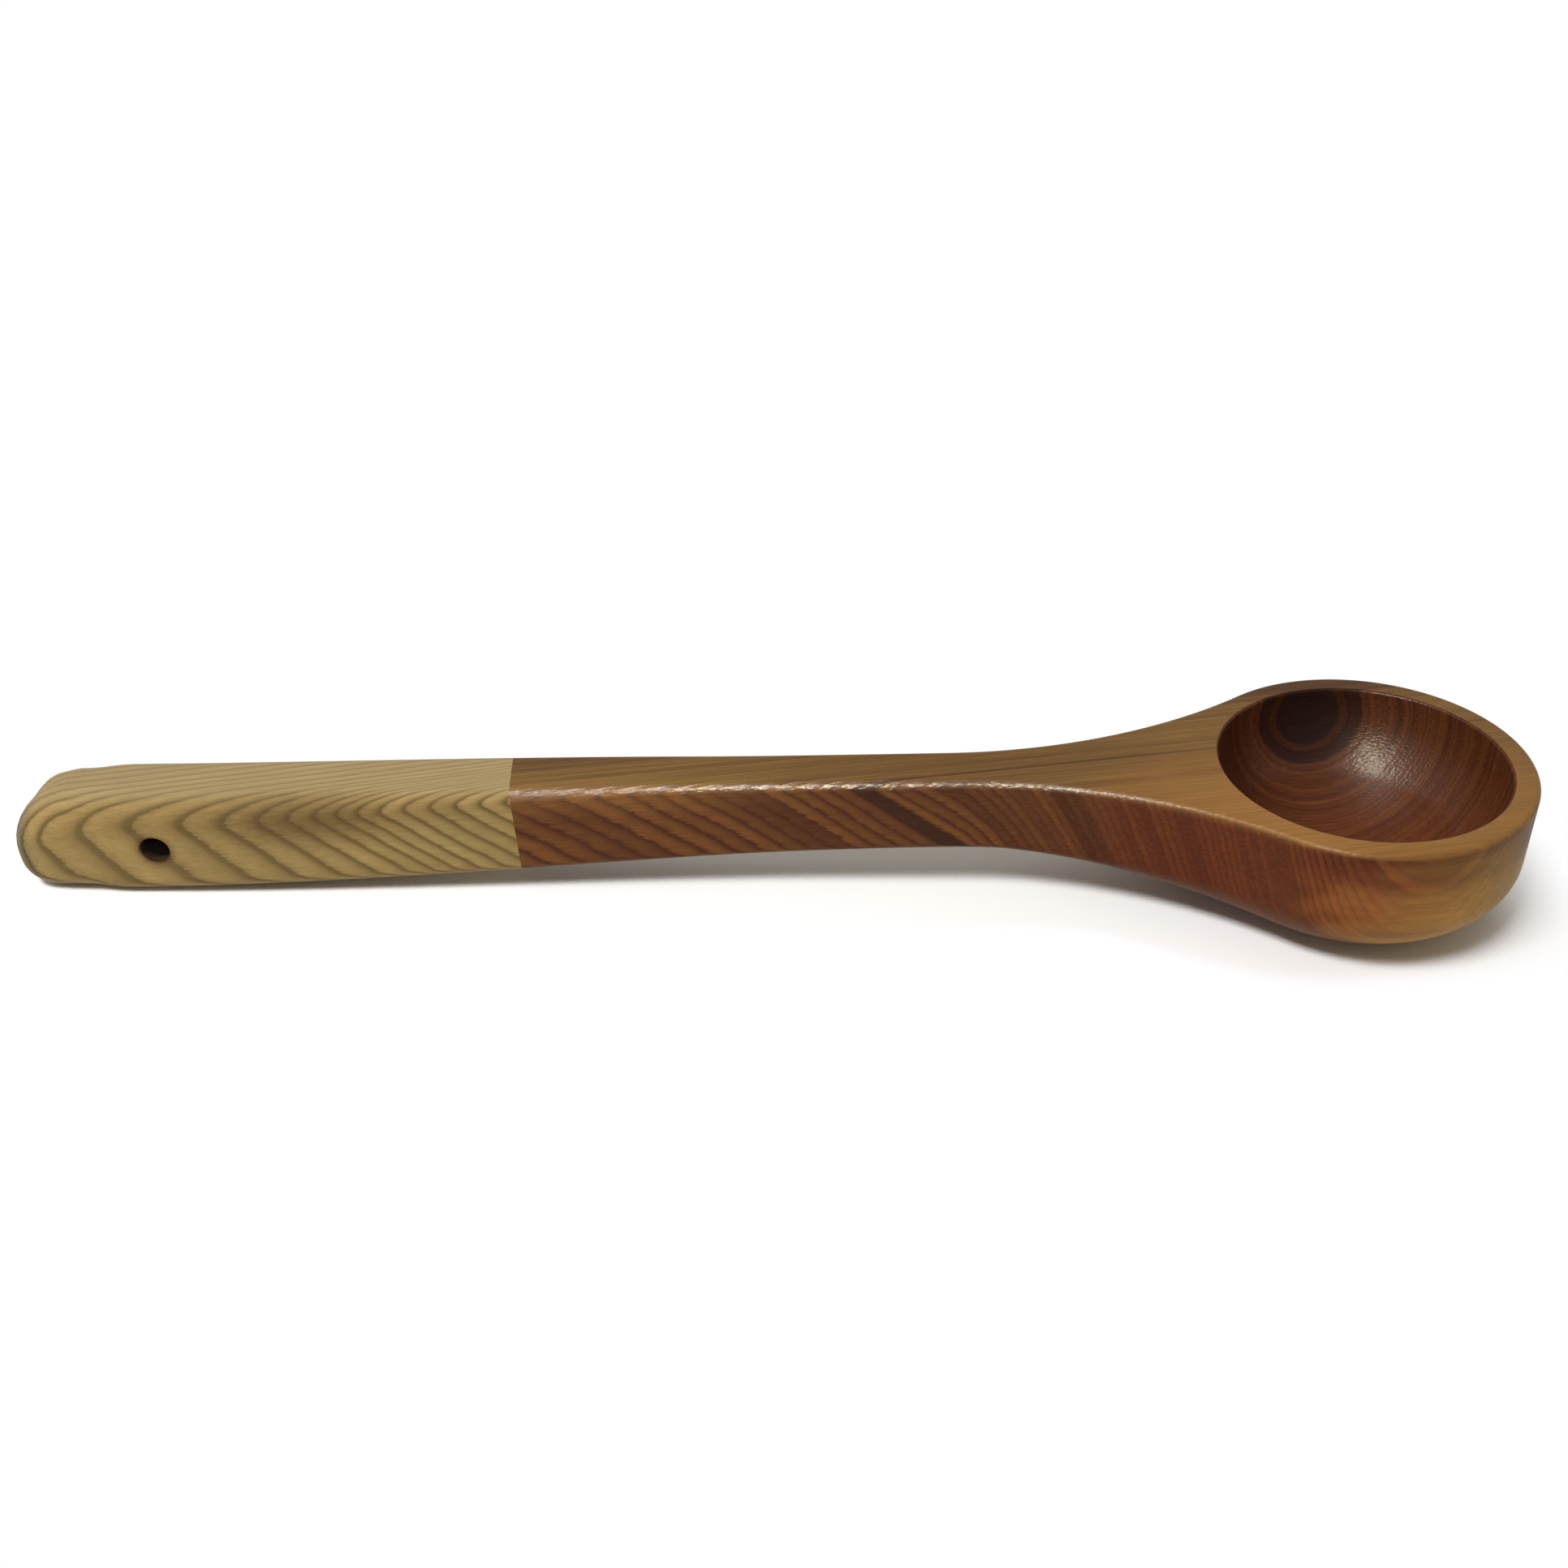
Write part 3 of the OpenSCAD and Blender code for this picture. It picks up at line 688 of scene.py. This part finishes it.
def carved_piece(name, sizes, material, hollow=False, drills=()):
    """A piece carved by the rule above: its skin, hollow, flat top, drilled holes and sanded foot."""
    tree = new_tree(name, sizes)
    node = partial(add, tree)
    given = node("NodeGroupInput").outputs
    skin = carved_skin(node, given)
    parts = [node("GeometryNodeFlipFaces", {0: skin}) if sizes["end_way"] > 0 else skin]
    if hollow:
        parts.append(turned_hollow(node, given))
    skin = node("GeometryNodeJoinGeometry", {0: parts})
    skin = node("GeometryNodeMergeByDistance", {0: skin, 2: WELD})
    # An edge with one face lies on the rim of the flat top
    faces = node("GeometryNodeInputMeshEdgeNeighbors")
    rim = node(MATH, {0: faces, 1: 1.5}, operation="LESS_THAN")
    top = node("GeometryNodeFillCurve", {0: node("GeometryNodeMeshToCurve", {0: skin, 1: rim})})
    whole = node("GeometryNodeJoinGeometry", {0: [skin, top]})
    whole = node("GeometryNodeMergeByDistance", {0: whole, 2: WELD})
    if drills:
        cutters = []
        for kind, radii, length, place, turn in drills:
            cutter = node(kind, {"Vertices": DRILL_SIDES, **radii, "Depth": length})
            cutters.append(node("GeometryNodeTransform", {0: cutter, 1: place, 2: turn}))
        whole = node("GeometryNodeMeshBoolean", {0: whole, 1: cutters}, solver="EXACT")
    in_row = {1: BOARD_TO_ROW.translation, 2: BOARD_TO_ROW.to_euler(), 3: (MM,) * 3}
    whole = node("GeometryNodeTransform", {0: whole, **in_row})
    place = node(SPLIT, {0: node("GeometryNodeInputPosition")})
    level = node(MATH, {0: place.outputs["Z"], 1: 0.0}, operation="MAXIMUM")
    level = node(JOIN, {0: place.outputs["X"], 1: place.outputs["Y"], 2: level})
    whole = node("GeometryNodeSetPosition", {0: whole, 2: level})
    whole = node("GeometryNodeRealizeInstances", {0: whole})
    whole = node("GeometryNodeSetMaterial", {0: whole, 2: material})
    node("NodeGroupOutput", {0: whole})

    piece = bpy.data.objects.new(name, bpy.data.meshes.new(name))
    bpy.context.scene.collection.objects.link(piece)
    modifier = piece.modifiers.new(name, "NODES")
    modifier.node_group = tree
    for socket in tree.interface.items_tree:
        if socket.in_out == "INPUT":
            modifier[socket.identifier] = sizes[socket.name]
    evaluated = piece.evaluated_get(bpy.context.evaluated_depsgraph_get())
    mesh = bpy.data.meshes.new_from_object(evaluated)
    piece.modifiers.clear()
    piece.data = mesh
    shell = bmesh.new()
    shell.from_mesh(mesh)
    bmesh.ops.remove_doubles(shell, verts=shell.verts, dist=WELD * MM)
    bmesh.ops.recalc_face_normals(shell, faces=shell.faces)
    shell.to_mesh(mesh)
    shell.free()
    mesh.shade_smooth()
    mesh.set_sharp_from_angle(angle=math.radians(SHARP_ANGLE))
    return piece


lip_out = math.sqrt((BALL_R + LIP_ROUND) ** 2 - (BALL_Z + LIP_ROUND) ** 2)
dowel_low, dowel_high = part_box("joint_dowel")
dowel_middle = ROW_TO_BOARD @ ((dowel_low + dowel_high) / 2) / MM
socket = (
    "GeometryNodeMeshCylinder", {"Radius": SOCKET_R}, 2 * SOCKET_DEPTH,
    (SHAPE["joint_x"], 0.0, dowel_middle.z), (0.0, math.pi / 2, 0.0),
)
hole_bore = (
    "GeometryNodeMeshCylinder", {"Radius": HOLE_R}, 4 * SHAPE["grip_half"],
    HOLE_MIDDLE, (math.pi / 2, 0.0, 0.0),
)
# Cones that pass through the grip's side faces just wider than the bore, so that each mouth is eased
CONE_HALF = 1.0
mouth_r = HOLE_R + HOLE_BEVEL
cone_radii = {"Radius Bottom": mouth_r - CONE_HALF, "Radius Top": mouth_r + CONE_HALF}
hole_bevels = [
    (
        "GeometryNodeMeshCone", cone_radii, 2 * CONE_HALF,
        (HOLE_X, side * (HOLE_HALF - CONE_HALF), -HOLE_DEPTH), (-side * math.pi / 2, 0.0, 0.0),
    )
    for side in (-1, 1)
]

ladle_body = carved_piece("carved_ladle_body", {
    **SHAPE,
    "rows": 481,
    "turn_share": 0.23,
    "end_x": SHAPE["bowl_x"],
    "end_way": 1.0,
    "end_reach": SHAPE["bowl_r"],
    "end_squareness": 2.0,
    "end_round": SHAPE["rim_round"],
    "end_base_in": SHAPE["bowl_r"] - SHAPE["base_r"],
    "end_base_up": SHAPE["base_rise"],
    "hollow_turns": 193,
    "ball_r": BALL_R,
    "ball_z": BALL_Z,
    "ball_turn": math.atan2(lip_out, BALL_Z + LIP_ROUND),
    "lip_out": lip_out,
    "lip_round": LIP_ROUND,
    "lip_strip": LIP_STRIP,
    "lip_turn": math.atan2(BALL_Z + LIP_ROUND, -lip_out),
}, brown_wood, hollow=True, drills=[socket])
handle_grip = carved_piece("carved_handle_grip", {
    **SHAPE,
    "rows": 301,
    "turn_share": 0.19,
    "end_x": END_LENGTH,
    "end_way": -1.0,
    "end_reach": END_LENGTH,
    "end_squareness": END_SQUARENESS,
    "end_round": END_ROUND,
    "end_base_in": END_BASE_ROUND,
    "end_base_up": END_BASE_ROUND,
}, pale_wood, drills=[socket, hole_bore, *hole_bevels])

for piece, cad_node, slot in (
    (ladle_body, "ladle_body", "brown_wood"),
    (handle_grip, "handle_grip", "pale_wood"),
):
    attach(piece, "root")
    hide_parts(cad_node)
dowel = frame["nodes"]["joint_dowel"]
dowel.data.materials.clear()
dowel.data.materials.append(dowel_wood)


# STUDIO

def seen_directly(node):
    """1 for what the camera and reflections see, and 0 for what lights the ladle."""
    rays = node("ShaderNodeLightPath").outputs
    seen = node(MATH, {0: rays["Is Camera Ray"], 1: rays["Is Glossy Ray"]}, operation="MAXIMUM")
    return node(MATH, {0: seen, 1: rays["Is Transmission Ray"]}, operation="MAXIMUM")


# A white paper sweep. What the camera and reflections see of it is a shade above white, so that it looks
# white in this light and keeps the ladle's shadow. What it throws back on the ladle is the light of a pale
# grey floor.
WHITE = (1.0, 1.0, 1.0, 1.0)
PAPER_SEEN = (1.08, 1.08, 1.08, 1.0)
PAPER_BOUNCE = (0.7, 0.7, 0.7, 1.0)
FLOOR_HALF = 6.0
# The shaded part of the paper, in metres: half its length, and half its width, which grows from the handle
# to the bowl. Past its edge the paper fades to plain white.
SHADE_HALF_LENGTH = 0.212
SHADE_HALF_WIDTH = {1: 0.08, 2: 0.15, 3: 0.022, 4: 0.045}
SHADE_FADE = {1: 0.85, 2: 1.17}
FLOOR_CORNERS = [(-FLOOR_HALF, -FLOOR_HALF, 0), (FLOOR_HALF, -FLOOR_HALF, 0),
                 (FLOOR_HALF, FLOOR_HALF, 0), (-FLOOR_HALF, FLOOR_HALF, 0)]
floor_mesh = bpy.data.meshes.new("floor")
floor_mesh.from_pydata(FLOOR_CORNERS, [], [(0, 1, 2, 3)])
floor = bpy.data.objects.new("floor", floor_mesh)
bpy.context.scene.collection.objects.link(floor)
paper = bpy.data.materials.new("white studio paper")
paper.use_nodes = True
paper.node_tree.nodes.clear()
node = partial(add, paper.node_tree)
seen = seen_directly(node)
sheet = node(MIX, {0: seen, 6: PAPER_BOUNCE, 7: PAPER_SEEN}, data_type="RGBA")
lit = node("ShaderNodeBsdfDiffuse", {"Color": sheet.outputs[2]})
glow = node("ShaderNodeEmission", {"Color": WHITE, "Strength": 1.0})
spot = node(SPLIT, {0: node("ShaderNodeTexCoord").outputs["Object"]})
half = node(RANGE, {0: spot.outputs["X"], **SHADE_HALF_WIDTH}, **EASED)
along = node(MATH, {0: spot.outputs["X"], 1: SHADE_HALF_LENGTH}, operation="DIVIDE")
beside = node(MATH, {0: spot.outputs["Y"], 1: half}, operation="DIVIDE")
spread = node(JOIN, {0: along, 1: beside})
spread = node(VECTOR, {0: spread, 1: spread}, operation="MULTIPLY")
away = node(VECTOR, {0: spread}, operation="LENGTH").outputs["Value"]
away = node(RANGE, {0: away, **SHADE_FADE}, **EASED)
away = node(MATH, {0: away, 1: seen}, operation="MULTIPLY")
node("ShaderNodeOutputMaterial", {0: node("ShaderNodeMixShader", {0: away, 1: lit, 2: glow})})
floor_mesh.materials.append(paper)

# The wall behind the paper sweep is lit, and the room in front of it is dim
ROOM_LIGHT = {1: -1.0, 2: 1.0, 3: 0.1, 4: 0.56}
ROOM_TINT = (1.0, 0.95, 0.86, 1.0)
world = bpy.data.worlds.new("studio")
bpy.context.scene.world = world
world.use_nodes = True
node = partial(add, world.node_tree)
seen = seen_directly(node)
toward = node(SPLIT, {0: node("ShaderNodeTexCoord").outputs["Generated"]})
room = node(RANGE, {0: toward.outputs["Y"], **ROOM_LIGHT})
level = node(RANGE, {0: seen, 3: room, 4: 1.0})
tint = node(MIX, {0: seen, 6: ROOM_TINT, 7: WHITE}, data_type="RGBA")
sky = node("ShaderNodeBackground", {"Color": tint.outputs[2], "Strength": level})
world.node_tree.links.new(sky.outputs[0], world.node_tree.nodes["World Output"].inputs["Surface"])

# A softbox high at the front left throws the shadow. A small one near the camera gives the bowl its
# glint, and shows in reflections alone.
for name, place, size, power, tint, glint_alone in (
    ("key softbox", (-0.28, -0.4, 0.88), (0.4, 0.2), 8.5, (1.0, 1.0, 1.0), False),
    ("front softbox", (-0.015, -0.3, 0.3), (0.06, 0.06), 3.0, (1.0, 0.89, 0.62), True),
):
    lamp = bpy.data.objects.new(name, bpy.data.lights.new(name, "AREA"))
    bpy.context.scene.collection.objects.link(lamp)
    lamp.data.shape = "RECTANGLE"
    lamp.data.size, lamp.data.size_y = size
    lamp.data.energy = power
    lamp.data.color = tint
    aim = Vector(place).to_track_quat("Z", "Y")
    lamp.matrix_world = Matrix.Translation(place) @ aim.to_matrix().to_4x4()
    lamp.visible_diffuse = not glint_alone

bpy.context.scene.view_settings.view_transform = "Standard"
